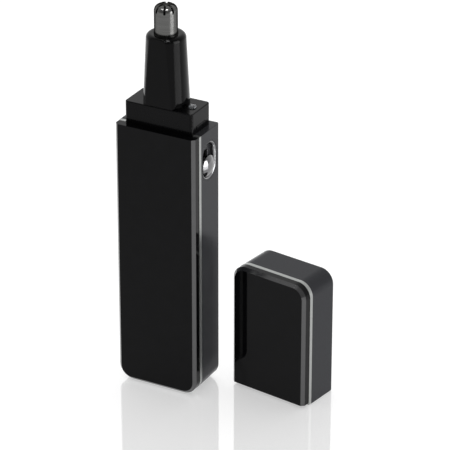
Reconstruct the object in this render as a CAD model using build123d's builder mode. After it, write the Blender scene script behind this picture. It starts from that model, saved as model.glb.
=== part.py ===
"""Battery nose hair trimmer with its protective cap standing beside it.

Frame: the origin is the centre of the trimmer's bottom face, +Z up along the body, +X to
the right and +Y to the back, so the glossy front panel faces -Y. All sizes are millimetres.
"""
from build123d import *
import os
from math import cos, radians, sin

# ---- driving dimensions: the case -------------------------------------------------------
WIDTH = 32.0
DEPTH = 18.0
BODY_HEIGHT = 101.0        # bottom face to the ledge that the cap lands on
CORNER = 5.3               # the body's bottom corners and the cap's top corners
BEVEL = 1.1                # 45 degree bevel round the front panels, but not where the cap meets
REAR_ROUND = 0.9           # round of the rear edges, but not where the cap meets
PANEL_DEPTH = 3.4          # how far back the front panel's sides run
TRIM_DEPTH = 1.5           # visible thickness of the bright trim line
TRIM_WIDTH = 2.6           # how far the trim reaches in from the side
PANEL_STEP = 0.15          # the front panel's sides stand in from the trim
SIDE_WALL = 1.8
REAR_WALL = 1.6
FRONT_WALL = 1.4
TRIM_LIFT = 0.1            # the trim's lower edge stays off the table
SNUG = 0.1                 # gap between parts that are pressed together

# ---- driving dimensions: neck, nozzle and cutter ----------------------------------------
AXIS_Y = 0.25              # the drive line stands this far behind the middle
PLINTH_HALF_WIDTH = 13.4
PLINTH_FRONT, PLINTH_BACK = -6.0, 7.2
PLINTH_HEIGHT = 8.1
STUB_DEPTH = 2.4           # the neck block's foot below the ledge
NOZZLE_BASE_R = 8.2
NOZZLE_WAIST_R, NOZZLE_WAIST_H = 7.85, 7.2
NOZZLE_TOP_R = 6.95
NOZZLE_HEIGHT = 25.9       # plinth top to the nozzle's shoulder
NOZZLE_SHOULDER = 1.7
NOZZLE_FLAT = 6.2          # flats front and back, so that the nozzle passes into the cap
SPIGOT_R, SPIGOT_LENGTH = 4.9, 5.6
GUARD_R, GUARD_WALL = 4.13, 0.45
GUARD_TOP = 44.5           # cutter tip above the ledge
GUARD_DOME = 2.3
GUARD_SLOTS = 8
SLOT_WIDTH, SLOT_DROP = 0.8, 2.6
SPINDLE_R = 1.25
RUNNING = 0.05             # radial running clearance

# ---- driving dimensions: power and switch -----------------------------------------------
CELL_R, CELL_LENGTH, CELL_NUB = 7.25, 49.5, 1.0     # an AA cell
CELL_Y, CELL_Z = -0.1, 9.0
CELL_ROUND, CELL_NUB_R = 0.6, 2.7
MOTOR_R, MOTOR_LENGTH = 6.2, 22.0
MOTOR_Z = 72.0
SHAFT_R = 0.75
SWITCH_Y, SWITCH_Z = 1.7, 89.55
SWITCH_TRAVEL = 4.5
RECESS_WIDTH, RECESS_LENGTH, RECESS_DEPTH = 8.1, 12.6, 1.7
DISH_RIM, DISH_ROUND = 1.2, 1.05                    # the recess runs out to the side in a round
KNOB_R = 3.9
KNOB_RIM_PROUD, KNOB_CROWN_PROUD = -0.3, 1.1        # from the side of the case

# ---- driving dimensions: battery door and cap -------------------------------------------
DOOR_HALF_WIDTH, DOOR_TOP = 11.0, 63.0
DOOR_GAP = 0.25
KNUCKLE_R, HINGE_Z = 1.5, 7.4
CAP_HEIGHT = 48.2
CAP_PANEL_LIFT = 0.8       # the cap's front panel stops short of its mouth, for a fingernail
CAP_INNER = (13.6, -6.2, 7.4, 45.6)                 # half width, front, back, height
CAP_PLACE = (39.5, 12.9)                            # where the cap's middle stands
CAP_YAW = -8.6

# ---- places that follow from them -------------------------------------------------------
HALF = WIDTH / 2
FRONT, BACK = -DEPTH / 2, DEPTH / 2
PANEL_BACK = FRONT + PANEL_DEPTH
HOUSING_FRONT = PANEL_BACK + TRIM_DEPTH
LEDGE = BODY_HEIGHT
PLINTH_TOP = LEDGE + PLINTH_HEIGHT
NOZZLE_TOP = PLINTH_TOP + NOZZLE_HEIGHT
TIP = LEDGE + GUARD_TOP
INNER_BACK = BACK - REAR_WALL
INNER_SIDE = HALF - SIDE_WALL
HINGE_Y = BACK - KNUCKLE_R
DRIVE_LINE = (0, AXIS_Y)
KNOB_Z = SWITCH_Z - SWITCH_TRAVEL / 2

TRIMMER = Plane.XY
CAP = Plane(
    origin=(*CAP_PLACE, 0),
    x_dir=(cos(radians(CAP_YAW)), sin(radians(CAP_YAW)), 0),
    z_dir=(0, 0, 1),
)


def save(piece, name):
    """Label a finished piece and write its STEP file."""
    piece.part.label = name
    export_step(piece.part, f"parts/{name}.step")


def upright(base, y):
    """The vertical plane at depth y of a base plane, drawn as seen from the front."""
    return Plane(origin=base.from_local_coords((0, y, 0)), x_dir=base.x_dir, z_dir=-base.y_dir)


def slab(base, y_front, y_back, half_width, z_low, z_high, corner=0.0, top=False, mode=Mode.ADD):
    """An upright plate between two depths, with its bottom or top corners rounded."""
    with BuildSketch(upright(base, y_front)) as outline:
        with Locations((0, (z_low + z_high) / 2)):
            Rectangle(2 * half_width, z_high - z_low)
        if corner > 0:
            fillet(outline.vertices().group_by(Axis.Y)[-1 if top else 0], corner)
    extrude(outline.sketch, amount=y_front - y_back, mode=mode)


def block(x_span, y_span, z_span, mode=Mode.ADD):
    """A box between three pairs of limits."""
    with BuildSketch(Plane.XY.offset(z_span[0])) as outline:
        with Locations(((x_span[0] + x_span[1]) / 2, (y_span[0] + y_span[1]) / 2)):
            Rectangle(x_span[1] - x_span[0], y_span[1] - y_span[0])
    extrude(outline.sketch, amount=z_span[1] - z_span[0], mode=mode)


def rod(centre, radius, z_low, z_high, mode=Mode.ADD):
    """A vertical cylinder between two heights."""
    with BuildSketch(Plane.XY.offset(z_low)) as outline:
        with Locations(centre):
            Circle(radius)
    extrude(outline.sketch, amount=z_high - z_low, mode=mode)


def side_slot(x_low, x_high, width, length, z, mode=Mode.ADD):
    """A racetrack on the right-hand side, long along Z, between two depths in X."""
    with BuildSketch(Plane(origin=(x_low, SWITCH_Y, z), x_dir=(0, 1, 0), z_dir=(1, 0, 0))) as outline:
        SlotOverall(length, width, rotation=90)
    extrude(outline.sketch, amount=x_high - x_low, mode=mode)


def wire(points, radius, bend):
    """A round lead along straight runs joined by tangent bends."""
    with BuildLine() as route:
        FilletPolyline(*points, radius=bend)
    with BuildSketch(Plane(origin=route.line @ 0, z_dir=route.line % 0)) as section:
        Circle(radius)
    sweep(section.sketch, path=route.line)


def coil(centre, radius, wire_r, z_low, z_high, turns):
    """An open helical spring standing on the XY plane."""
    height = z_high - z_low - 2 * wire_r
    with BuildLine() as route:
        Helix(pitch=height / turns, height=height, radius=radius, center=(*centre, z_low + wire_r))
    with BuildSketch(Plane(origin=route.line @ 0, z_dir=route.line % 0)) as section:
        Circle(wire_r)
    sweep(section.sketch, path=route.line, is_frenet=True)


os.makedirs("parts", exist_ok=True)

# ==== case ===============================================================================
BOSS_X, BOSS_HEIGHTS = 11.4, (17.0, 69.0)
BOSS_R, BOSS_BACK = 1.9, -3.0
TAB_BACK = -1.8            # back of the frame's screw tabs, where the screw heads sit
HEAD_THICK, CROSS_DEPTH = 1.2, 0.6
CROSS_LENGTH, CROSS_WIDTH = 2.4, 0.5
SCREW_TIP = -5.4
PILOT_R, SCREW_R = 0.95, 0.9
BOSS_POINTS = [(x, z) for x in (-BOSS_X, BOSS_X) for z in BOSS_HEIGHTS]

with BuildPart() as front_panel:
    slab(TRIMMER, FRONT, PANEL_BACK, HALF - PANEL_STEP, 0, LEDGE, CORNER)
    chamfer(front_panel.faces().sort_by(Axis.Y)[0].edges().sort_by(Axis.Z)[:-1], BEVEL)
    slab(TRIMMER, FRONT + FRONT_WALL, PANEL_BACK, INNER_SIDE, SIDE_WALL, LEDGE - REAR_WALL,
         CORNER - SIDE_WALL, mode=Mode.SUBTRACT)
    with BuildSketch(upright(TRIMMER, FRONT + FRONT_WALL)) as bosses:
        with Locations(BOSS_POINTS):
            Circle(BOSS_R)
            Circle(PILOT_R, mode=Mode.SUBTRACT)
    extrude(bosses.sketch, amount=FRONT + FRONT_WALL - BOSS_BACK)
save(front_panel, "front_panel")

with BuildPart() as trim_frame:
    slab(TRIMMER, PANEL_BACK, HOUSING_FRONT, HALF, TRIM_LIFT, LEDGE, CORNER - TRIM_LIFT)
    slab(TRIMMER, PANEL_BACK, HOUSING_FRONT, HALF - TRIM_WIDTH, TRIM_WIDTH, LEDGE,
         CORNER - TRIM_WIDTH, mode=Mode.SUBTRACT)
save(trim_frame, "trim_frame")

NECK_CUT_X, NECK_CUT_BACK = 12.5, 6.5
LUG_X, LUG_FRONT = DOOR_HALF_WIDTH + DOOR_GAP, 5.9
HINGE_PIN_R, HINGE_PIN_LENGTH = 0.75, 1.2
HINGE_PLANE = Plane(origin=(0, HINGE_Y, HINGE_Z), x_dir=(0, 1, 0), z_dir=(1, 0, 0))


def hinge_bar(radius, x_reach, mode=Mode.ADD):
    """A bar on the battery door's hinge line, to both sides of the middle."""
    with BuildSketch(HINGE_PLANE) as outline:
        Circle(radius)
    extrude(outline.sketch, amount=x_reach, both=True, mode=mode)


with BuildPart() as rear_housing:
    slab(TRIMMER, HOUSING_FRONT, BACK, HALF, 0, LEDGE, CORNER)
    fillet(rear_housing.faces().sort_by(Axis.Y)[-1].edges().sort_by(Axis.Z)[:-1], REAR_ROUND)
    slab(TRIMMER, HOUSING_FRONT, INNER_BACK, INNER_SIDE, SIDE_WALL, LEDGE - REAR_WALL,
         CORNER - SIDE_WALL, mode=Mode.SUBTRACT)
    block((-NECK_CUT_X, NECK_CUT_X), (HOUSING_FRONT, NECK_CUT_BACK),
          (LEDGE - REAR_WALL, LEDGE), mode=Mode.SUBTRACT)
    block((-LUG_X, LUG_X), (INNER_BACK, BACK),
          (HINGE_Z - KNUCKLE_R - DOOR_GAP, DOOR_TOP + DOOR_GAP), mode=Mode.SUBTRACT)
    for side in (-1, 1):
        block(sorted((side * LUG_X, side * INNER_SIDE)), (LUG_FRONT, INNER_BACK),
              (HINGE_Z - KNUCKLE_R, HINGE_Z + KNUCKLE_R))
    hinge_bar(HINGE_PIN_R + RUNNING, DOOR_HALF_WIDTH + HINGE_PIN_LENGTH + DOOR_GAP, Mode.SUBTRACT)
    side_slot(INNER_SIDE - 1, HALF + 1, RECESS_WIDTH + 2 * DISH_RIM + SNUG,
              RECESS_LENGTH + 2 * DISH_RIM + SNUG, SWITCH_Z, Mode.SUBTRACT)
save(rear_housing, "rear_housing")

with BuildPart() as frame_screws:
    with BuildSketch(upright(TRIMMER, SCREW_TIP)) as shanks:
        with Locations(BOSS_POINTS):
            Circle(SCREW_R)
    extrude(shanks.sketch, amount=SCREW_TIP - TAB_BACK)
    with BuildSketch(upright(TRIMMER, TAB_BACK)) as heads:
        with Locations(BOSS_POINTS):
            Circle(BOSS_R)
    extrude(heads.sketch, amount=-HEAD_THICK)
    with BuildSketch(upright(TRIMMER, TAB_BACK + HEAD_THICK)) as crosses:
        with Locations(BOSS_POINTS):
            Rectangle(CROSS_LENGTH, CROSS_WIDTH)
            Rectangle(CROSS_WIDTH, CROSS_LENGTH)
    extrude(crosses.sketch, amount=CROSS_DEPTH, mode=Mode.SUBTRACT)
save(frame_screws, "frame_screws")

# ==== inner frame ========================================================================
RIB_IN, RIB_OUT = 7.6, 8.8
RIB_FRONT, RIB_BACK = -7.2, 3.5
FLOOR_Z, MIDWALL_Z, BULKHEAD_Z = 3.2, 61.4, 95.4
PLATE = 1.2
TAB_HALF, MOTOR_RING_IN = 3.0, 5.0                  # screw tabs, and the motor cradle's two walls
SHAFT_HOLE_R = 2.6
LEAD_Z_LOW, LEAD_Z_HIGH, LEAD_Z_CELL = 5.4, 68.4, 60.2
LEAD_GATE_Y, LEAD_GATE_HALF = (-1.0, 1.6), 1.0      # openings that the leads pass through

with BuildPart() as inner_frame:
    for side in (-1, 1):
        block(sorted((side * RIB_IN, side * RIB_OUT)), (RIB_FRONT, RIB_BACK),
              (FLOOR_Z, BULKHEAD_Z + PLATE))
        for z in BOSS_HEIGHTS:
            block(sorted((side * RIB_OUT, side * (HALF - TRIM_WIDTH - 0.2))),
                  (BOSS_BACK, TAB_BACK), (z - TAB_HALF, z + TAB_HALF))
    for z in (FLOOR_Z, MIDWALL_Z, BULKHEAD_Z):
        block((-RIB_IN, RIB_IN), (RIB_FRONT, RIB_BACK), (z, z + PLATE))
    for z in (MOTOR_Z + MOTOR_RING_IN, MOTOR_Z + MOTOR_LENGTH - MOTOR_RING_IN):
        block((-RIB_IN, RIB_IN), (RIB_FRONT, AXIS_Y), (z, z + PLATE))
    rod(DRIVE_LINE, MOTOR_R + RUNNING, MOTOR_Z, MOTOR_Z + MOTOR_LENGTH, Mode.SUBTRACT)
    rod(DRIVE_LINE, SHAFT_HOLE_R, BULKHEAD_Z, BULKHEAD_Z + PLATE, Mode.SUBTRACT)
    with BuildSketch(upright(TRIMMER, BOSS_BACK)) as screw_holes:
        with Locations(BOSS_POINTS):
            Circle(SCREW_R + RUNNING)
    extrude(screw_holes.sketch, amount=BOSS_BACK - TAB_BACK, mode=Mode.SUBTRACT)
    for z in (LEAD_Z_LOW, LEAD_Z_CELL, LEAD_Z_HIGH):
        block((-RIB_OUT, RIB_OUT), LEAD_GATE_Y, (z - LEAD_GATE_HALF, z + LEAD_GATE_HALF),
              Mode.SUBTRACT)
save(inner_frame, "inner_frame")

# ==== battery, contacts and leads ========================================================
with BuildPart() as battery_cell:
    rod((0, CELL_Y), CELL_R, CELL_Z, CELL_Z + CELL_LENGTH)
    fillet(battery_cell.edges().filter_by(GeomType.CIRCLE), CELL_ROUND)
    rod((0, CELL_Y), CELL_NUB_R, CELL_Z + CELL_LENGTH, CELL_Z + CELL_LENGTH + CELL_NUB)
save(battery_cell, "battery_cell")

CONTACT_SHEET = 0.4
SPRING_R, SPRING_WIRE, SPRING_TURNS = 3.2, 0.35, 3.0
NEGATIVE_HALF, NEGATIVE_Y = 4.9, (-4.9, 3.3)
POSITIVE_HALF, POSITIVE_Y, POSITIVE_STUD_R = 4.0, (-3.2, 3.2), 1.8
with BuildPart() as contact_spring:
    coil((0, CELL_Y), SPRING_R, SPRING_WIRE, FLOOR_Z + PLATE + CONTACT_SHEET, CELL_Z,
         SPRING_TURNS)
save(contact_spring, "contact_spring")

with BuildPart() as negative_contact:
    block((-NEGATIVE_HALF, NEGATIVE_HALF), NEGATIVE_Y,
          (FLOOR_Z + PLATE, FLOOR_Z + PLATE + CONTACT_SHEET))
save(negative_contact, "negative_contact")

with BuildPart() as positive_contact:
    block((-POSITIVE_HALF, POSITIVE_HALF), POSITIVE_Y, (MIDWALL_Z - CONTACT_SHEET, MIDWALL_Z))
    rod((0, CELL_Y), POSITIVE_STUD_R, CELL_Z + CELL_LENGTH + CELL_NUB, MIDWALL_Z - CONTACT_SHEET)
save(positive_contact, "positive_contact")

# ==== motor ==============================================================================
CAN_WALL, CAN_ROUND = 0.7, 0.8
NOSE_R, NOSE_LENGTH = 2.5, 1.3
MOTOR_TOP = MOTOR_Z + MOTOR_LENGTH
with BuildPart() as motor_can:
    rod(DRIVE_LINE, MOTOR_R, MOTOR_Z, MOTOR_TOP)
    fillet(motor_can.edges().group_by(Axis.Z)[-1], CAN_ROUND)
    rod(DRIVE_LINE, NOSE_R, MOTOR_TOP, MOTOR_TOP + NOSE_LENGTH)
    rod(DRIVE_LINE, MOTOR_R - CAN_WALL, MOTOR_Z, MOTOR_TOP - CAN_WALL, Mode.SUBTRACT)
    rod(DRIVE_LINE, SHAFT_R + RUNNING, MOTOR_TOP - CAN_WALL, MOTOR_TOP + NOSE_LENGTH,
        Mode.SUBTRACT)
save(motor_can, "motor_can")

END_CAP_TOP, END_CAP_LOW = MOTOR_Z + 2.0, MOTOR_Z - 1.4
TAIL_R, TAIL_LOW = 2.0, MOTOR_Z - 2.2
SHAFT_LOW, BLIND_HOLE_LOW = MOTOR_Z - 1.0, MOTOR_Z - 1.2
with BuildPart() as motor_end_cap:
    rod(DRIVE_LINE, MOTOR_R, END_CAP_LOW, MOTOR_Z)
    rod(DRIVE_LINE, MOTOR_R - CAN_WALL, MOTOR_Z, END_CAP_TOP)
    rod(DRIVE_LINE, TAIL_R, TAIL_LOW, END_CAP_LOW)
    rod(DRIVE_LINE, SHAFT_R + RUNNING, BLIND_HOLE_LOW, END_CAP_TOP, Mode.SUBTRACT)
save(motor_end_cap, "motor_end_cap")

TERMINAL_X, TERMINAL_SHEET, TERMINAL_HALF, TERMINAL_LOW = 3.4, 0.4, 1.2, MOTOR_Z - 4.6
with BuildPart() as motor_terminals:
    for side in (-1, 1):
        centre = side * TERMINAL_X
        block((centre - TERMINAL_SHEET / 2, centre + TERMINAL_SHEET / 2),
              (AXIS_Y - TERMINAL_HALF, AXIS_Y + TERMINAL_HALF), (TERMINAL_LOW, END_CAP_LOW))
save(motor_terminals, "motor_terminals")

MAGNET_IN, MAGNET_OUT, MAGNET_GAP = 4.3, MOTOR_R - CAN_WALL, 4.4
MAGNET_Z, MAGNET_LENGTH = MOTOR_Z + 4, 14.0
with BuildPart() as motor_magnets:
    with BuildSketch(Plane.XY.offset(MAGNET_Z)) as magnets:
        with Locations(DRIVE_LINE):
            Circle(MAGNET_OUT)
            Circle(MAGNET_IN, mode=Mode.SUBTRACT)
            Rectangle(2 * MAGNET_OUT + 1, MAGNET_GAP, mode=Mode.SUBTRACT)
    extrude(magnets.sketch, amount=MAGNET_LENGTH)
save(motor_magnets, "motor_magnets")

ARMATURE_R, ARMATURE_POLES = 3.9, 3
ARMATURE_Z, ARMATURE_LENGTH = MOTOR_Z + 5, 12.0
WINDING_SLOT_AT, WINDING_SLOT, WINDING_R = 3.1, (1.9, 0.7), 0.9
with BuildPart() as motor_armature:
    with BuildSketch(Plane.XY.offset(ARMATURE_Z)) as poles:
        with Locations(DRIVE_LINE):
            Circle(ARMATURE_R)
            Circle(SHAFT_R, mode=Mode.SUBTRACT)
            with PolarLocations(WINDING_SLOT_AT, ARMATURE_POLES, start_angle=30):
                Rectangle(*WINDING_SLOT, mode=Mode.SUBTRACT)
                with Locations((-0.6, 0)):
                    Circle(WINDING_R, mode=Mode.SUBTRACT)
    extrude(poles.sketch, amount=ARMATURE_LENGTH)
save(motor_armature, "motor_armature")

FORK_Z, FORK_DISC, FORK_TOP = 100.4, 1.6, 107.0
FORK_HUB_R, FORK_HUB = 1.6, 2.4
SHAFT_TOP = FORK_Z + FORK_DISC + 0.4
with BuildPart() as motor_shaft:
    rod(DRIVE_LINE, SHAFT_R, SHAFT_LOW, SHAFT_TOP)
    chamfer(motor_shaft.edges().group_by(Axis.Z)[-1], 0.15)
save(motor_shaft, "motor_shaft")

PRONG_IN, PRONG_OUT, PRONG_WIDTH = 2.0, 3.2, 1.6
with BuildPart() as drive_fork:
    rod(DRIVE_LINE, FORK_HUB_R, FORK_Z - FORK_HUB, FORK_Z)
    rod(DRIVE_LINE, PRONG_OUT, FORK_Z, FORK_Z + FORK_DISC)
    with BuildSketch(Plane.XY.offset(FORK_Z + FORK_DISC)) as prongs:
        with Locations(DRIVE_LINE):
            Circle(PRONG_OUT)
            Circle(PRONG_IN, mode=Mode.SUBTRACT)
            Rectangle(2 * PRONG_OUT, PRONG_WIDTH, mode=Mode.INTERSECT)
    extrude(prongs.sketch, amount=FORK_TOP - FORK_Z - FORK_DISC)
    rod(DRIVE_LINE, SHAFT_R, FORK_Z - FORK_HUB, SHAFT_TOP, Mode.SUBTRACT)
save(drive_fork, "drive_fork")

# ==== circuit board and slide switch =====================================================
BOARD_X, BOARD_SHEET = 9.0, 1.0
BOARD_FACE = BOARD_X + BOARD_SHEET
BOARD_Y, BOARD_Z = (-4.5, 6.0), (74.0, 98.3)
with BuildPart() as circuit_board:
    block((BOARD_X, BOARD_FACE), BOARD_Y, BOARD_Z)
save(circuit_board, "circuit_board")

RESISTOR_R, RESISTOR_END_R, RESISTOR_END = 0.7, 0.9, 1.3
RESISTOR_AT, RESISTOR_Z = (BOARD_FACE + RESISTOR_END_R, -2.8), (76.5, 82.5)
with BuildPart() as resistor:
    rod(RESISTOR_AT, RESISTOR_R, *RESISTOR_Z)
    for z in (RESISTOR_Z[0], RESISTOR_Z[1] - RESISTOR_END):
        rod(RESISTOR_AT, RESISTOR_END_R, z, z + RESISTOR_END)
save(resistor, "resistor")

CASE_X, CASE_HALF_Y, CASE_HALF_Z, CASE_WALL = 13.1, 3.2, 6.7, 0.5
STEM_HALF, FOOT_HALF_Y, FOOT_HALF_Z = 1.1, 2.2, 2.4
STEM_GAP = 0.2
STEM_REACH = SWITCH_TRAVEL / 2 + STEM_HALF + STEM_GAP
STEM_SLOT_Y = (SWITCH_Y - STEM_HALF - STEM_GAP, SWITCH_Y + STEM_HALF + STEM_GAP)
STEM_SLOT_Z = (SWITCH_Z - STEM_REACH, SWITCH_Z + STEM_REACH)
with BuildPart() as switch_case:
    block((BOARD_FACE, CASE_X), (SWITCH_Y - CASE_HALF_Y, SWITCH_Y + CASE_HALF_Y),
          (SWITCH_Z - CASE_HALF_Z, SWITCH_Z + CASE_HALF_Z))
    block((BOARD_FACE + CASE_WALL, CASE_X - CASE_WALL),
          (SWITCH_Y - CASE_HALF_Y + CASE_WALL, SWITCH_Y + CASE_HALF_Y - CASE_WALL),
          (SWITCH_Z - CASE_HALF_Z + CASE_WALL, SWITCH_Z + CASE_HALF_Z - CASE_WALL),
          Mode.SUBTRACT)
    block((CASE_X - CASE_WALL, CASE_X), STEM_SLOT_Y, STEM_SLOT_Z, Mode.SUBTRACT)
save(switch_case, "switch_case")

BEZEL_SHEET = 0.8
BEZEL_BACK = HALF - RECESS_DEPTH - BEZEL_SHEET
with BuildPart() as switch_bezel:
    side_slot(BEZEL_BACK, HALF, RECESS_WIDTH + 2 * DISH_RIM, RECESS_LENGTH + 2 * DISH_RIM, SWITCH_Z)
    side_slot(HALF - RECESS_DEPTH, HALF, RECESS_WIDTH, RECESS_LENGTH, SWITCH_Z, Mode.SUBTRACT)
    fillet(switch_bezel.faces().sort_by(Axis.X)[-1].inner_wires()[0].edges(), DISH_ROUND)
    block((BEZEL_BACK, HALF), STEM_SLOT_Y, STEM_SLOT_Z, Mode.SUBTRACT)
save(switch_bezel, "switch_bezel")

KNOB_FOOT = HALF - RECESS_DEPTH + STEM_GAP
KNOB_RIM, KNOB_CROWN = HALF + KNOB_RIM_PROUD, HALF + KNOB_CROWN_PROUD
KNOB_RISE = KNOB_CROWN - KNOB_RIM
KNOB_DOME_R = (KNOB_RISE ** 2 + KNOB_R ** 2) / (2 * KNOB_RISE)
with BuildPart() as switch_knob:
    with BuildSketch(Plane(origin=(KNOB_FOOT, SWITCH_Y, KNOB_Z))) as profile:
        with BuildLine():
            Polyline((KNOB_CROWN - KNOB_FOOT, 0), (0, 0), (0, KNOB_R), (KNOB_RIM - KNOB_FOOT, KNOB_R))
            RadiusArc((KNOB_RIM - KNOB_FOOT, KNOB_R), (KNOB_CROWN - KNOB_FOOT, 0), KNOB_DOME_R)
        make_face()
    revolve(profile.sketch, axis=Axis((KNOB_FOOT, SWITCH_Y, KNOB_Z), (1, 0, 0)))
save(switch_knob, "switch_knob")

FOOT_X = (BOARD_FACE + 0.7, BOARD_FACE + 2.3)
with BuildPart() as switch_stem:
    block(FOOT_X, (SWITCH_Y - FOOT_HALF_Y, SWITCH_Y + FOOT_HALF_Y),
          (KNOB_Z - FOOT_HALF_Z, KNOB_Z + FOOT_HALF_Z))
    block((FOOT_X[1], KNOB_FOOT), (SWITCH_Y - STEM_HALF, SWITCH_Y + STEM_HALF),
          (KNOB_Z - STEM_HALF, KNOB_Z + STEM_HALF))
save(switch_stem, "switch_stem")

# ==== leads ==============================================================================
LEAD_R, LEAD_BEND = 0.5, 1.8
LEAD_SIDE = 10.9
with BuildPart() as negative_lead:
    wire([(-NEGATIVE_HALF, AXIS_Y, LEAD_Z_LOW), (-LEAD_SIDE, AXIS_Y, LEAD_Z_LOW),
          (-LEAD_SIDE, AXIS_Y, LEAD_Z_HIGH), (-TERMINAL_X - TERMINAL_SHEET / 2, AXIS_Y, LEAD_Z_HIGH)],
         LEAD_R, LEAD_BEND)
save(negative_lead, "negative_lead")

POSITIVE_SIDE, POSITIVE_Z, POSITIVE_BEND = 12.2, 78.0, 1.0
with BuildPart() as positive_lead:
    wire([(POSITIVE_HALF, AXIS_Y, LEAD_Z_CELL), (POSITIVE_SIDE, AXIS_Y, LEAD_Z_CELL),
          (POSITIVE_SIDE, AXIS_Y, POSITIVE_Z), (BOARD_FACE, AXIS_Y, POSITIVE_Z)],
         LEAD_R, POSITIVE_BEND)
save(positive_lead, "positive_lead")

BOARD_MIDDLE = BOARD_X + BOARD_SHEET / 2
with BuildPart() as motor_lead:
    wire([(TERMINAL_X + TERMINAL_SHEET / 2, AXIS_Y, LEAD_Z_HIGH),
          (BOARD_MIDDLE, AXIS_Y, LEAD_Z_HIGH), (BOARD_MIDDLE, AXIS_Y, BOARD_Z[0])],
         LEAD_R, LEAD_BEND)
save(motor_lead, "motor_lead")

# ==== neck ===============================================================================
LAMP_X, LAMP_R = 10.2, 1.5
SEAL_Z, SEAL_WIRE = 106.0, 0.55
DETENT_PROUD, DETENT_Y, DETENT_Z = 0.12, (-2.5, 3.5), (LEDGE + 1.4, LEDGE + 2.6)
PLINTH_CORNER, PLINTH_EDGE = 1.2, 0.35
SPIGOT_FLOOR = LEDGE + 2.0
with BuildPart() as neck_block:
    block((-PLINTH_HALF_WIDTH, PLINTH_HALF_WIDTH), (PLINTH_FRONT, PLINTH_BACK), (LEDGE, PLINTH_TOP))
    fillet(neck_block.edges().filter_by(Axis.Z), PLINTH_CORNER)
    fillet(neck_block.faces().sort_by(Axis.Z)[-1].edges(), PLINTH_EDGE)
    block((-NECK_CUT_X + SNUG, NECK_CUT_X - SNUG), (HOUSING_FRONT + SNUG, NECK_CUT_BACK - SNUG),
          (LEDGE - STUB_DEPTH, LEDGE))
    for side in (-1, 1):
        block(sorted((side * (PLINTH_HALF_WIDTH - 0.5), side * (PLINTH_HALF_WIDTH + DETENT_PROUD))),
              DETENT_Y, DETENT_Z)
    rod(DRIVE_LINE, SPIGOT_R + SNUG, SPIGOT_FLOOR, PLINTH_TOP, Mode.SUBTRACT)
    rod(DRIVE_LINE, PRONG_OUT + 0.5, LEDGE - STUB_DEPTH, SPIGOT_FLOOR, Mode.SUBTRACT)
    rod((LAMP_X, AXIS_Y), LAMP_R + RUNNING, LEDGE - STUB_DEPTH, PLINTH_TOP, Mode.SUBTRACT)
save(neck_block, "neck_block")

LAMP_FOOT, LAMP_PROUD, LAMP_ROUND = LEDGE + 4.0, 0.8, 0.75
LAMP_LEAD_STEP, LAMP_LEAD_R = 0.8, 0.25
with BuildPart() as led_lamp:
    rod((LAMP_X, AXIS_Y), LAMP_R, LAMP_FOOT, PLINTH_TOP + LAMP_PROUD)
    fillet(led_lamp.faces().sort_by(Axis.Z)[-1].edges(), LAMP_ROUND)
save(led_lamp, "led_lamp")

with BuildPart() as led_leads:
    for step in (-LAMP_LEAD_STEP, LAMP_LEAD_STEP):
        rod((BOARD_FACE - 0.3, AXIS_Y + step), LAMP_LEAD_R, BOARD_Z[1], LAMP_FOOT)
save(led_leads, "led_leads")

# ==== nozzle with its fixed cutter =======================================================
SPIGOT_Z = PLINTH_TOP - SPIGOT_LENGTH
BUSH_Z, BUSH_TOP, BUSH_R = 112.5, 121.0, 3.0
POCKET_Z = 127.8
BORE_R, WAIST_BORE_R = 3.6, 3.4
BUSH_SHOULDER = BUSH_TOP + 0.5
with BuildPart() as nozzle:
    with BuildSketch(Plane.XZ.offset(-AXIS_Y)):
        with BuildLine():
            Polyline((0, PLINTH_TOP), (NOZZLE_BASE_R, PLINTH_TOP),
                     (NOZZLE_WAIST_R, PLINTH_TOP + NOZZLE_WAIST_H), (NOZZLE_TOP_R, NOZZLE_TOP),
                     (0, NOZZLE_TOP), close=True)
        make_face()
    revolve(axis=Axis((0, AXIS_Y, 0), (0, 0, 1)))
    fillet(nozzle.edges().filter_by(GeomType.CIRCLE).group_by(Axis.Z)[-1], NOZZLE_SHOULDER)
    with BuildSketch(Plane.XY.offset(PLINTH_TOP)) as flats:
        with Locations(DRIVE_LINE):
            Rectangle(2 * NOZZLE_BASE_R, 2 * NOZZLE_FLAT)
    extrude(flats.sketch, amount=NOZZLE_HEIGHT, mode=Mode.INTERSECT)
    rod(DRIVE_LINE, SPIGOT_R, SPIGOT_Z, PLINTH_TOP)
    with BuildSketch(Plane.XZ.offset(-AXIS_Y)) as groove:
        with Locations((SPIGOT_R, SEAL_Z)):
            Circle(SEAL_WIRE)
    revolve(groove.sketch, axis=Axis((0, AXIS_Y, 0), (0, 0, 1)), mode=Mode.SUBTRACT)
    rod(DRIVE_LINE, BORE_R, SPIGOT_Z, BUSH_Z, Mode.SUBTRACT)
    rod(DRIVE_LINE, BUSH_R, BUSH_Z, BUSH_SHOULDER, Mode.SUBTRACT)
    rod(DRIVE_LINE, WAIST_BORE_R, BUSH_SHOULDER, POCKET_Z, Mode.SUBTRACT)
    rod(DRIVE_LINE, GUARD_R, POCKET_Z, NOZZLE_TOP, Mode.SUBTRACT)
save(nozzle, "nozzle")

with BuildPart() as nozzle_seal:
    with BuildSketch(Plane.XZ.offset(-AXIS_Y)) as seal_section:
        with Locations((SPIGOT_R, SEAL_Z)):
            Circle(SEAL_WIRE)
        with Locations((0, SEAL_Z)):
            Rectangle(2 * (SPIGOT_R + RUNNING), 4 * SEAL_WIRE, mode=Mode.INTERSECT)
    revolve(seal_section.sketch, axis=Axis((0, AXIS_Y, 0), (0, 0, 1)))
save(nozzle_seal, "nozzle_seal")

with BuildPart() as spindle_bush:
    rod(DRIVE_LINE, BUSH_R, BUSH_Z, BUSH_TOP)
    rod(DRIVE_LINE, SPINDLE_R + RUNNING, BUSH_Z, BUSH_TOP, Mode.SUBTRACT)
save(spindle_bush, "spindle_bush")


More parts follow.
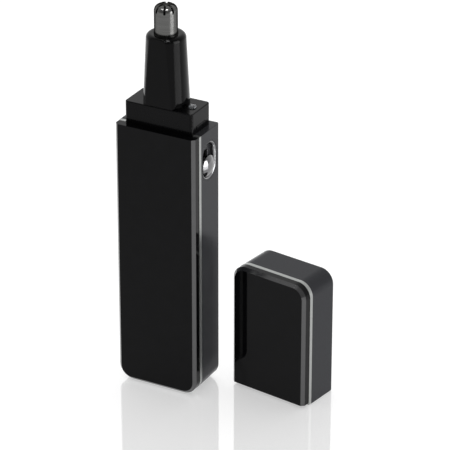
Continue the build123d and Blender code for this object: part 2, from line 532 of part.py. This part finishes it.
def domed_rod(radius, z_low, z_high, dome, mode=Mode.ADD):
    """A cylinder on the drive line whose top edge is well rounded."""
    with BuildSketch(Plane.XZ.offset(-AXIS_Y)) as profile:
        with BuildLine():
            wall = Polyline((0, z_high), (0, z_low), (radius, z_low), (radius, z_high - dome))
            top = RadiusArc(wall @ 1, (radius - dome, z_high), -dome)
            Line(top @ 1, (0, z_high))
        make_face()
    revolve(profile.sketch, axis=Axis((0, AXIS_Y, 0), (0, 0, 1)), mode=mode)


SLOT_IN = 1.1
with BuildPart() as cutter_guard:
    domed_rod(GUARD_R, POCKET_Z, TIP, GUARD_DOME)
    domed_rod(GUARD_R - GUARD_WALL, POCKET_Z, TIP - GUARD_WALL, GUARD_DOME - GUARD_WALL, Mode.SUBTRACT)
    for number in range(GUARD_SLOTS):
        angle = 360 / GUARD_SLOTS * (number + 0.5)
        cut = Plane(origin=(0, AXIS_Y, TIP), z_dir=(cos(radians(angle)), sin(radians(angle)), 0),
                    x_dir=(-sin(radians(angle)), cos(radians(angle)), 0))
        with BuildSketch(cut.offset(SLOT_IN)) as slot:
            with Locations((0, SLOT_WIDTH / 2 - SLOT_DROP)):
                Circle(SLOT_WIDTH / 2)
            with Locations((0, (SLOT_WIDTH / 2 - SLOT_DROP) / 2 + 0.5)):
                Rectangle(SLOT_WIDTH, SLOT_DROP - SLOT_WIDTH / 2 + 1)
        extrude(slot.sketch, amount=GUARD_R, mode=Mode.SUBTRACT)
save(cutter_guard, "cutter_guard")

# ==== rotor ==============================================================================
BLADE_GAP = 0.12
BLADE_R = GUARD_R - GUARD_WALL - BLADE_GAP
BLADE_TOP = TIP - GUARD_WALL - BLADE_GAP
BLADE_SHEET, HUB_Z, HUB_TOP = 0.7, 129.0, 131.0
BLADE_CLEAR_R, BRIDGE_WIDTH, BRIDGE_DEPTH = 2.0, 5.0, 2.0
with BuildPart() as rotor_blade:
    domed_rod(BLADE_R, HUB_Z, BLADE_TOP, GUARD_DOME - GUARD_WALL - BLADE_GAP)
    with BuildSketch(Plane.XY.offset(HUB_TOP)) as keep:
        with Locations(DRIVE_LINE):
            Rectangle(2 * BLADE_R, BLADE_SHEET)
            Rectangle(BLADE_SHEET, 2 * BLADE_R)
            Circle(BLADE_CLEAR_R, mode=Mode.SUBTRACT)
    with BuildSketch(Plane.XY.offset(HUB_TOP)) as clear:
        with Locations(DRIVE_LINE):
            Circle(BLADE_R + 1)
        add(keep.sketch, mode=Mode.SUBTRACT)
    extrude(clear.sketch, amount=TIP - HUB_TOP, mode=Mode.SUBTRACT)
    with BuildSketch(Plane.XY.offset(BLADE_TOP - BRIDGE_DEPTH)) as bridge:
        with Locations(DRIVE_LINE):
            Rectangle(BRIDGE_WIDTH, BLADE_SHEET)
            Rectangle(BLADE_SHEET, BRIDGE_WIDTH)
    extrude(bridge.sketch, amount=BRIDGE_DEPTH)
    rod(DRIVE_LINE, SPINDLE_R, HUB_Z, HUB_TOP, Mode.SUBTRACT)
save(rotor_blade, "rotor_blade")

TANG_Z, TANG_SHEET, TANG_LENGTH = 104.6, 1.2, 6.0
COUPLER_R, COUPLER_Z, COUPLER_TOP = 2.2, 108.0, 111.0
with BuildPart() as rotor_spindle:
    rod(DRIVE_LINE, SPINDLE_R, COUPLER_Z, HUB_TOP + 1.0)
    chamfer(rotor_spindle.edges().group_by(Axis.Z)[-1], 0.25)
save(rotor_spindle, "rotor_spindle")

with BuildPart() as drive_tang:
    rod(DRIVE_LINE, COUPLER_R, COUPLER_Z, COUPLER_TOP)
    with BuildSketch(Plane.XY.offset(TANG_Z)) as bar:
        with Locations(DRIVE_LINE):
            Rectangle(TANG_SHEET, TANG_LENGTH)
    extrude(bar.sketch, amount=COUPLER_Z - TANG_Z)
    rod(DRIVE_LINE, SPINDLE_R, COUPLER_Z, COUPLER_TOP, Mode.SUBTRACT)
save(drive_tang, "drive_tang")

THRUST_R, THRUST_WIRE, THRUST_TURNS = 2.0, 0.25, 5.0
with BuildPart() as thrust_spring:
    coil(DRIVE_LINE, THRUST_R, THRUST_WIRE, BUSH_TOP + 0.3, HUB_Z, THRUST_TURNS)
save(thrust_spring, "thrust_spring")

# ==== battery door =======================================================================
GRIP_GROOVES, GRIP_PITCH, GRIP_BELOW_TOP = 5, 1.8, 4.0
GRIP_HALF, GROOVE_DEPTH, GROOVE_HALF = 4.5, 0.4, 0.35
with BuildPart() as battery_door:
    block((-DOOR_HALF_WIDTH, DOOR_HALF_WIDTH), (INNER_BACK, BACK), (HINGE_Z, DOOR_TOP))
    fillet(battery_door.edges().filter_by(Axis.Y).group_by(Axis.Z)[-1], 1.0)
    hinge_bar(KNUCKLE_R, DOOR_HALF_WIDTH)
    hinge_bar(HINGE_PIN_R, DOOR_HALF_WIDTH + HINGE_PIN_LENGTH)
    for number in range(GRIP_GROOVES):
        z = DOOR_TOP - GRIP_BELOW_TOP - number * GRIP_PITCH
        block((-GRIP_HALF, GRIP_HALF), (BACK - GROOVE_DEPTH, BACK),
              (z - GROOVE_HALF, z + GROOVE_HALF), Mode.SUBTRACT)
save(battery_door, "battery_door")

GASKET, GASKET_WIDTH, GASKET_IN, GASKET_LOW = 0.45, 1.0, 0.4, 10.2
GASKET_HALF, GASKET_TOP = DOOR_HALF_WIDTH - GASKET_IN, DOOR_TOP - 0.5
with BuildPart() as door_gasket:
    slab(TRIMMER, INNER_BACK - GASKET, INNER_BACK, GASKET_HALF, GASKET_LOW, GASKET_TOP)
    slab(TRIMMER, INNER_BACK - GASKET, INNER_BACK, GASKET_HALF - GASKET_WIDTH, GASKET_LOW,
         GASKET_TOP - GASKET_WIDTH, mode=Mode.SUBTRACT)
save(door_gasket, "door_gasket")

# ==== cap ================================================================================
CAP_LINER = 0.8
LINER_HALF, LINER_FRONT, LINER_BACK, LINER_TOP = (
    CAP_INNER[0] + CAP_LINER, CAP_INNER[1] - CAP_LINER, CAP_INNER[2] + CAP_LINER - 0.15,
    CAP_INNER[3] + CAP_LINER)
FIT = 0.1
CAP_SHELL_CORNER = CORNER - (HALF - LINER_HALF - FIT)
CAP_DEPTH_AXIS = Axis((0, 0, 0), CAP.y_dir)

with BuildPart() as cap_liner:
    slab(CAP, LINER_FRONT, LINER_BACK, LINER_HALF, 0, LINER_TOP, CAP_SHELL_CORNER - FIT, top=True)
    slab(CAP, CAP_INNER[1], CAP_INNER[2], CAP_INNER[0], 0, CAP_INNER[3],
         CAP_SHELL_CORNER - FIT - CAP_LINER, top=True, mode=Mode.SUBTRACT)
save(cap_liner, "cap_liner")

with BuildPart() as cap_front_panel:
    slab(CAP, FRONT, PANEL_BACK, HALF - PANEL_STEP, CAP_PANEL_LIFT, CAP_HEIGHT, CORNER, top=True)
    cap_face = cap_front_panel.faces().sort_by(CAP_DEPTH_AXIS)[0]
    chamfer(cap_face.edges().sort_by(Axis.Z)[1:], BEVEL)
    slab(CAP, LINER_FRONT - FIT, PANEL_BACK, LINER_HALF + FIT, 0, LINER_TOP + FIT,
         CAP_SHELL_CORNER, top=True, mode=Mode.SUBTRACT)
save(cap_front_panel, "cap_front_panel")

with BuildPart() as cap_trim:
    slab(CAP, PANEL_BACK, HOUSING_FRONT, HALF, TRIM_LIFT, CAP_HEIGHT, CORNER, top=True)
    slab(CAP, PANEL_BACK, HOUSING_FRONT, LINER_HALF + FIT, 0, LINER_TOP + FIT,
         CAP_SHELL_CORNER, top=True, mode=Mode.SUBTRACT)
save(cap_trim, "cap_trim")

with BuildPart() as cap_rear_shell:
    slab(CAP, HOUSING_FRONT, BACK, HALF, 0, CAP_HEIGHT, CORNER, top=True)
    cap_back = cap_rear_shell.faces().sort_by(CAP_DEPTH_AXIS)[-1]
    fillet(cap_back.edges().sort_by(Axis.Z)[1:], REAR_ROUND)
    slab(CAP, HOUSING_FRONT, LINER_BACK + FIT, LINER_HALF + FIT, 0, LINER_TOP + FIT,
         CAP_SHELL_CORNER, top=True, mode=Mode.SUBTRACT)
save(cap_rear_shell, "cap_rear_shell")
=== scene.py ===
"""Looks of the nose hair trimmer: materials, floor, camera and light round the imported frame."""

import math

import bpy
from mathutils import Matrix, Vector


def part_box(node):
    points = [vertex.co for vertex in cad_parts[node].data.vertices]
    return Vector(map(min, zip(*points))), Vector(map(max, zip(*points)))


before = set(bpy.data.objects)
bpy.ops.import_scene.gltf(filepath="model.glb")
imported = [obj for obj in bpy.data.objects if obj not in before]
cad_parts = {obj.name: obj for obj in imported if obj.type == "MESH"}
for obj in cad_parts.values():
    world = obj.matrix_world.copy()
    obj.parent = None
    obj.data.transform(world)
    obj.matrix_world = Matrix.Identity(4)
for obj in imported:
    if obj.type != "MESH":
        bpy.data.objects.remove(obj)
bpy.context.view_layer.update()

WHITE = (1.0, 1.0, 1.0, 1.0)
EDGE_ROUND = 0.00022            # how far sharp edges of lacquer and gloss catch the light, in metres
NOZZLE_EDGE_ROUND = 0.0009
BEVEL_LEAN = (0.25, 0.95)       # cosine between a bevel and the front of its piece
FACING_SIDE = 0.9               # least X of a normal that counts as facing the side


# ---------------------------------------------------------------- shader helpers
class Shade:
    """A Principled material whose constants sit on the shader's own sockets."""

    def __init__(self, name, colour, roughness, metallic=0.0, specular=0.5, **sockets):
        self.material = bpy.data.materials.new(name)
        self.material.use_nodes = True
        self.nodes = self.material.node_tree.nodes
        self.links = self.material.node_tree.links
        self.bsdf = self.nodes["Principled BSDF"]
        self.set("Base Color", (*colour, 1.0))
        self.set("Roughness", roughness)
        self.set("Metallic", metallic)
        self.set("Specular IOR Level", specular)
        for socket, value in sockets.items():
            self.set(socket.replace("_", " "), value)
        self.place = self.nodes.new("ShaderNodeTexCoord").outputs["Object"]
        self.colour = colour

    def set(self, socket, value):
        self.bsdf.inputs[socket].default_value = value

    def stretched(self, scale):
        """The object coordinates, scaled differently along X, Y and Z."""
        node = self.nodes.new("ShaderNodeMapping")
        node.inputs["Scale"].default_value = scale
        self.links.new(self.place, node.inputs["Vector"])
        return node.outputs["Vector"]

    def noise(self, scale, detail=3.0, stretch=(1.0, 1.0, 1.0)):
        node = self.nodes.new("ShaderNodeTexNoise")
        node.inputs["Scale"].default_value = scale
        node.inputs["Detail"].default_value = detail
        self.links.new(self.stretched(stretch), node.inputs["Vector"])
        return node.outputs["Fac"]

    def wave(self, scale, direction, distortion=0.0):
        node = self.nodes.new("ShaderNodeTexWave")
        node.bands_direction = direction
        node.inputs["Scale"].default_value = scale
        node.inputs["Distortion"].default_value = distortion
        self.links.new(self.place, node.inputs["Vector"])
        return node.outputs["Fac"]

    def map(self, value, low, high, source=(0.3, 0.7)):
        """value, moved from the source range to low..high."""
        node = self.nodes.new("ShaderNodeMapRange")
        node.inputs["From Min"].default_value = source[0]
        node.inputs["From Max"].default_value = source[1]
        node.inputs["To Min"].default_value = low
        node.inputs["To Max"].default_value = high
        self.links.new(value, node.inputs["Value"])
        return node.outputs["Result"]

    def ramp(self, value, stops):
        node = self.nodes.new("ShaderNodeValToRGB")
        ramp = node.color_ramp
        while len(ramp.elements) < len(stops):
            ramp.elements.new(1.0)
        for element, (at, colour) in zip(ramp.elements, stops):
            element.position = at
            element.color = (*colour, 1.0)
        self.links.new(value, node.inputs["Fac"])
        return node.outputs["Color"]

    def tint(self, value, spread):
        """Colour varies by the given share each way as value goes from 0.3 to 0.7."""
        dark = tuple(c * (1.0 - spread) for c in self.colour)
        light = tuple(c * (1.0 + spread) for c in self.colour)
        self.links.new(self.ramp(value, [(0.3, dark), (0.7, light)]), self.bsdf.inputs["Base Color"])
        return self

    def rough(self, value, low, high):
        self.links.new(self.map(value, low, high), self.bsdf.inputs["Roughness"])
        return self

    def soft_edges(self, radius):
        """Sharp corners are shaded as if they were rounded by radius; the mesh stays sharp."""
        node = self.nodes.new("ShaderNodeBevel")
        node.inputs["Radius"].default_value = radius
        self.links.new(node.outputs["Normal"], self.bsdf.inputs["Normal"])
        return self

    def bump(self, value, depth, strength=1.0):
        """depth is the height of the relief in metres."""
        node = self.nodes.new("ShaderNodeBump")
        node.inputs["Strength"].default_value = strength
        node.inputs["Distance"].default_value = depth
        last = self.bsdf.inputs["Normal"].links
        if last:
            self.links.new(last[0].from_socket, node.inputs["Normal"])
        self.links.new(value, node.inputs["Height"])
        self.links.new(node.outputs["Normal"], self.bsdf.inputs["Normal"])
        return self


def paint(shade, *names):
    for name in names:
        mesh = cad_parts[name].data
        mesh.materials.clear()
        mesh.materials.append(shade.material)


def paint_faces(shade, name, wanted):
    """A second material on the faces of a piece for which wanted(face) is true; on the panel bevels
    it is a painted highlight.
    """
    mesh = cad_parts[name].data
    mesh.materials.append(shade.material)
    for face in mesh.polygons:
        if wanted(face):
            face.material_index = len(mesh.materials) - 1


def paint_bevels(shade, name):
    """The given material, a painted highlight, on the faces of a piece that lean between its front
    and its edges.
    """
    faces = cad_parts[name].data.polygons
    front = max((face for face in faces if face.normal.y < 0.0), key=lambda face: face.area)
    forward = front.normal.copy()
    paint_faces(shade, name, lambda face: BEVEL_LEAN[0] < face.normal.dot(forward) < BEVEL_LEAN[1])


# ---------------------------------------------------------------- outside materials
gloss = Shade("gloss_black_plastic", (0.0026, 0.0026, 0.0031), 0.045, specular=0.11)
gloss.soft_edges(EDGE_ROUND)
gloss.tint(gloss.noise(260.0), 0.25)
gloss.rough(gloss.noise(90.0, 6.0), 0.03, 0.07)
gloss.bump(gloss.noise(700.0, 2.0), 0.0000012)

# Painted highlight: the panel bevels get a lighter copy of the gloss black with a stronger specular,
# so they look lit.
bevel_painted_highlight = Shade("gloss_bevel_painted_highlight", (0.02, 0.02, 0.022), 0.12, specular=1.0, IOR=1.6)
bevel_painted_highlight.tint(bevel_painted_highlight.noise(260.0), 0.2)
bevel_painted_highlight.rough(bevel_painted_highlight.noise(200.0, 5.0), 0.09, 0.16)
bevel_painted_highlight.bump(bevel_painted_highlight.noise(900.0, 2.0), 0.000001)

nozzle_gloss = Shade("nozzle_gloss_black", (0.0012, 0.0012, 0.0015), 0.06, specular=0.11)
nozzle_gloss.soft_edges(NOZZLE_EDGE_ROUND)
nozzle_gloss.tint(nozzle_gloss.noise(300.0), 0.25)
nozzle_gloss.rough(nozzle_gloss.noise(120.0, 6.0), 0.05, 0.1)
nozzle_gloss.bump(nozzle_gloss.noise(800.0, 2.0), 0.0000012)

gunmetal = Shade("gunmetal_lacquer", (0.05, 0.051, 0.056), 0.22, metallic=0.3, specular=0.04)
gunmetal.soft_edges(EDGE_ROUND)
gunmetal.tint(gunmetal.noise(9000.0, 1.0), 0.3)
gunmetal.rough(gunmetal.noise(150.0, 5.0), 0.19, 0.25)
gunmetal.bump(gunmetal.noise(9000.0, 1.0), 0.0000010)

# Painted light: the switch recess is a brighter copy of the housing's gunmetal, so it looks lit.
dish_painted_light = Shade("switch_dish_painted_light", (0.3, 0.302, 0.31), 0.3, metallic=1.0)
dish_painted_light.tint(dish_painted_light.noise(6000.0, 1.0), 0.2)
dish_painted_light.rough(dish_painted_light.noise(400.0, 5.0), 0.24, 0.36)
dish_painted_light.bump(dish_painted_light.noise(7000.0, 1.0), 0.000001)

satin = Shade("satin_black_plastic", (0.003, 0.003, 0.0034), 0.17, specular=0.1)
satin.tint(satin.noise(2500.0), 0.3)
satin.rough(satin.noise(300.0, 5.0), 0.13, 0.21)
satin.bump(satin.noise(6000.0, 2.0), 0.000003)

trim = Shade("bright_trim_chrome", (0.36, 0.37, 0.36), 0.3, metallic=1.0)
trim.tint(trim.noise(900.0), 0.06)
trim.rough(trim.noise(400.0, 5.0, (1.0, 1.0, 0.1)), 0.26, 0.36)
trim.bump(trim.noise(3000.0, 2.0, (1.0, 1.0, 0.05)), 0.000001)

chrome = Shade("knob_chrome", (0.2, 0.2, 0.205), 0.07, metallic=1.0)
chrome.tint(chrome.noise(700.0), 0.05)
chrome.rough(chrome.noise(500.0, 5.0), 0.05, 0.11)
chrome.bump(chrome.noise(2500.0, 2.0), 0.0000008)

steel = Shade(
    "turned_steel", (0.13, 0.13, 0.127), 0.22, metallic=1.0, Specular_Tint=(0.15, 0.15, 0.15, 1.0)
)
steel.tint(steel.noise(1500.0, 3.0, (0.1, 0.1, 4.0)), 0.12)
steel.rough(steel.noise(1200.0, 5.0, (0.1, 0.1, 3.0)), 0.16, 0.28)
steel.bump(steel.noise(5000.0, 2.0, (0.05, 0.05, 1.0)), 0.000002)

blade_steel = Shade("ground_blade_steel", (0.42, 0.42, 0.42), 0.25, metallic=1.0)
blade_steel.tint(blade_steel.noise(2000.0, 3.0, (1.0, 1.0, 0.1)), 0.12)
blade_steel.rough(blade_steel.noise(2000.0, 4.0, (1.0, 1.0, 0.1)), 0.18, 0.34)
blade_steel.bump(blade_steel.noise(6000.0, 2.0, (1.0, 1.0, 0.05)), 0.000003)

lens = Shade("clear_epoxy", (0.93, 0.96, 1.0), 0.04, specular=0.6, Transmission_Weight=0.85)
lens.rough(lens.noise(2000.0), 0.02, 0.08)
lens.bump(lens.noise(1500.0), 0.000003)

rubber = Shade("black_rubber", (0.014, 0.014, 0.014), 0.75, specular=0.25)
rubber.tint(rubber.noise(1800.0), 0.35)
rubber.bump(rubber.noise(5000.0, 4.0), 0.00001)

# ---------------------------------------------------------------- inside materials
moulded = Shade("moulded_grey_plastic", (0.13, 0.13, 0.14), 0.5, specular=0.35)
moulded.tint(moulded.noise(600.0), 0.15)
moulded.rough(moulded.noise(900.0, 4.0), 0.42, 0.6)
moulded.bump(moulded.noise(5000.0, 3.0), 0.000006)

solder_mask = Shade("green_solder_mask", (0.02, 0.16, 0.07), 0.3)
solder_mask.tint(solder_mask.wave(420.0, "Z"), 0.35)
solder_mask.bump(solder_mask.wave(420.0, "Z"), 0.00001)

plated = Shade("plated_sheet", (0.6, 0.6, 0.6), 0.3, metallic=1.0)
plated.tint(plated.noise(700.0), 0.1)
plated.rough(plated.noise(1500.0, 4.0), 0.22, 0.4)
plated.bump(plated.noise(4000.0, 3.0), 0.000003)

nickel = Shade("nickel_plate", (0.66, 0.65, 0.62), 0.22, metallic=1.0)
nickel.tint(nickel.noise(900.0), 0.08)
nickel.rough(nickel.noise(2000.0, 4.0), 0.15, 0.3)
nickel.bump(nickel.noise(5000.0, 2.0), 0.000002)

lacquer = Shade("resistor_lacquer", (0.62, 0.48, 0.3), 0.35)
lacquer.bump(lacquer.noise(3000.0), 0.000006)

sleeve = Shade("cell_sleeve", (0.16, 0.17, 0.19), 0.35, specular=0.4)
sleeve.bump(sleeve.noise(900.0, 3.0), 0.000006)

red_wire = Shade("red_insulation", (0.45, 0.02, 0.02), 0.4)
red_wire.tint(red_wire.noise(1500.0), 0.15)
red_wire.bump(red_wire.noise(3000.0), 0.000008)

black_wire = Shade("black_insulation", (0.015, 0.015, 0.016), 0.4)
black_wire.tint(black_wire.noise(1500.0), 0.3)
black_wire.bump(black_wire.noise(3000.0), 0.000008)

zinc = Shade("zinc_plated_case", (0.55, 0.56, 0.58), 0.3, metallic=1.0)
zinc.tint(zinc.noise(500.0, 5.0), 0.12)
zinc.rough(zinc.noise(700.0, 5.0), 0.22, 0.42)
zinc.bump(zinc.noise(2500.0, 3.0, (1.0, 1.0, 0.1)), 0.000004)

nylon = Shade("natural_nylon", (0.7, 0.68, 0.62), 0.45, Subsurface_Weight=0.15)
nylon.tint(nylon.noise(900.0), 0.05)
nylon.bump(nylon.noise(3500.0, 3.0), 0.000006)

ferrite = Shade("ferrite", (0.05, 0.05, 0.055), 0.6)
ferrite.tint(ferrite.noise(3000.0, 5.0), 0.4)
ferrite.bump(ferrite.noise(5000.0, 5.0), 0.00001)

laminated = Shade("laminated_iron", (0.16, 0.13, 0.11), 0.45, metallic=0.8)
laminated.tint(laminated.wave(630.0, "Z"), 0.4)
laminated.bump(laminated.wave(630.0, "Z"), 0.00002)

bronze = Shade("sintered_bronze", (0.5, 0.33, 0.14), 0.45, metallic=1.0)
bronze.tint(bronze.noise(4000.0, 5.0), 0.3)
bronze.bump(bronze.noise(6000.0, 4.0), 0.00001)

acetal = Shade("white_acetal", (0.72, 0.72, 0.69), 0.4, Subsurface_Weight=0.1)
acetal.tint(acetal.noise(900.0), 0.05)
acetal.bump(acetal.noise(4000.0, 3.0), 0.000005)

paint(gloss, "front_panel", "cap_front_panel")
paint(nozzle_gloss, "nozzle")
paint(trim, "trim_frame", "cap_trim")
paint(gunmetal, "rear_housing", "cap_rear_shell", "battery_door")
# The switch recess takes the brighter painted-light copy of the gunmetal; its side-facing faces keep
# the gunmetal.
paint(dish_painted_light, "switch_bezel")
paint(satin, "neck_block", "cap_liner", "switch_stem")
paint(chrome, "switch_knob")
paint(steel, "cutter_guard")
paint(blade_steel, "rotor_blade", "rotor_spindle", "thrust_spring", "motor_shaft")
paint(lens, "led_lamp")
paint(rubber, "nozzle_seal", "door_gasket")
paint(moulded, "inner_frame")
paint(solder_mask, "circuit_board")
paint(plated, "switch_case")
paint(nickel, "contact_spring", "negative_contact", "positive_contact")
paint(nickel, "motor_terminals", "led_leads", "frame_screws")
paint(lacquer, "resistor")
paint(sleeve, "battery_cell")
paint(red_wire, "positive_lead", "motor_lead")
paint(black_wire, "negative_lead")
paint(zinc, "motor_can")
paint(nylon, "motor_end_cap")
paint(ferrite, "motor_magnets")
paint(laminated, "motor_armature")
paint(bronze, "spindle_bush")
paint(acetal, "drive_tang", "drive_fork")
# The panel bevels take the painted highlight material.
paint_bevels(bevel_painted_highlight, "front_panel")
paint_bevels(bevel_painted_highlight, "cap_front_panel")
paint_faces(gunmetal, "switch_bezel", lambda face: face.normal.x > FACING_SIDE)

# ---------------------------------------------------------------- floor
FLOOR_HALF = 12.0
FLOOR_DROP = 0.0004             # keeps the floor clear of the faces that stand on it
floor_mesh = bpy.data.meshes.new("floor")
corners = [(sx * FLOOR_HALF, sy * FLOOR_HALF, 0.0) for sx, sy in ((-1, -1), (1, -1), (1, 1), (-1, 1))]
floor_mesh.from_pydata(corners, [], [(0, 1, 2, 3)])
floor = bpy.data.objects.new("floor", floor_mesh)
bpy.context.scene.collection.objects.link(floor)
floor.location.z = -FLOOR_DROP
ground = Shade(
    "white_gloss_ground", (0.88, 0.88, 0.88), 0.03, metallic=0.2,
    Emission_Color=WHITE, Emission_Strength=0.46
)
ground.bump(ground.noise(40.0), 0.00001)
floor_mesh.materials.append(ground.material)

# ---------------------------------------------------------------- camera
def direction(azimuth, elevation):
    """A unit vector; both angles are in radians, and azimuth is 0 straight in front."""
    level = math.cos(elevation)
    return Vector((math.sin(azimuth) * level, -math.cos(azimuth) * level, math.sin(elevation)))


YAW = 0.495494                  # radians from straight in front, towards the switch
PITCH = 0.460798                # radians above the floor
DISTANCE = 1.0336               # from the point looked at, in metres
SIDEWAYS = 0.024635             # of that point, along the camera's own right
RISE = 0.058415                 # of that point, along the camera's own up
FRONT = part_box("front_panel")[0].y
SENSOR = 36.0                   # millimetres
LENS = 228.576                  # millimetres
NEAREST, FARTHEST = 0.05, 60.0  # that the camera sees, in metres

back = direction(YAW, PITCH)
right = Vector((math.cos(YAW), math.sin(YAW), 0.0))
up = back.cross(right)
camera_data = bpy.data.cameras.new("camera")
camera_data.sensor_width = SENSOR
camera_data.lens = LENS
camera_data.clip_start = NEAREST
camera_data.clip_end = FARTHEST
camera = bpy.data.objects.new("camera", camera_data)
bpy.context.scene.collection.objects.link(camera)
spot = right * SIDEWAYS + up * RISE + back * DISTANCE + Vector((0.0, FRONT, 0.0))
turn = Matrix((right, up, back)).transposed().to_4x4()
camera.matrix_world = Matrix.Translation(spot) @ turn
bpy.context.scene.camera = camera

# ---------------------------------------------------------------- light
TARGET = Vector((0.01, 0.0, 0.08))


def softbox(name, azimuth, elevation, distance, width, height, radiance):
    """A rectangular lamp facing TARGET that only reflections see, so it casts no shadow.

    Angles are in degrees, and azimuth runs from the camera's own to its right. Lengths are in metres.
    """
    towards = direction(YAW + math.radians(azimuth), math.radians(elevation))
    data = bpy.data.lights.new(name, "AREA")
    data.shape = "RECTANGLE"
    data.size = width
    data.size_y = height
    data.energy = radiance * math.pi * width * height
    lamp = bpy.data.objects.new(name, data)
    bpy.context.scene.collection.objects.link(lamp)
    lamp.location = TARGET + towards * distance
    lamp.rotation_mode = "QUATERNION"
    lamp.rotation_quaternion = towards.to_track_quat("Z", "Y")
    lamp.visible_diffuse = False


softbox("key_left", -38.0, 62.0, distance=1.2, width=0.7, height=0.16, radiance=14.0)
softbox("key_right", 15.5, 64.0, distance=1.2, width=0.24, height=0.2, radiance=40.0)
softbox("side_right", 62.0, 8.0, distance=1.1, width=0.7, height=0.5, radiance=6.5)

# The sky is dimmer in front of the trimmer than behind it.
SKY_FROM, SKY_TO = (-0.6, 0.9), (0.3, 1.05)     # share of the way to the back, and brightness
world = bpy.data.worlds.new("studio")
world.use_nodes = True
sky = world.node_tree.nodes
sky_links = world.node_tree.links
sky["Background"].inputs["Color"].default_value = WHITE
towards_back = sky.new("ShaderNodeVectorMath")
towards_back.operation = "DOT_PRODUCT"
towards_back.inputs[1].default_value = (-math.sin(YAW), math.cos(YAW), 0.0)
sky_links.new(sky.new("ShaderNodeTexCoord").outputs["Generated"], towards_back.inputs[0])
sky_level = sky.new("ShaderNodeMapRange")
sky_level.inputs["From Min"].default_value = SKY_FROM[0]
sky_level.inputs["From Max"].default_value = SKY_FROM[1]
sky_level.inputs["To Min"].default_value = SKY_TO[0]
sky_level.inputs["To Max"].default_value = SKY_TO[1]
sky_links.new(towards_back.outputs["Value"], sky_level.inputs["Value"])
sky_links.new(sky_level.outputs["Result"], sky["Background"].inputs["Strength"])
bpy.context.scene.world = world
bpy.context.scene.view_settings.view_transform = "Standard"
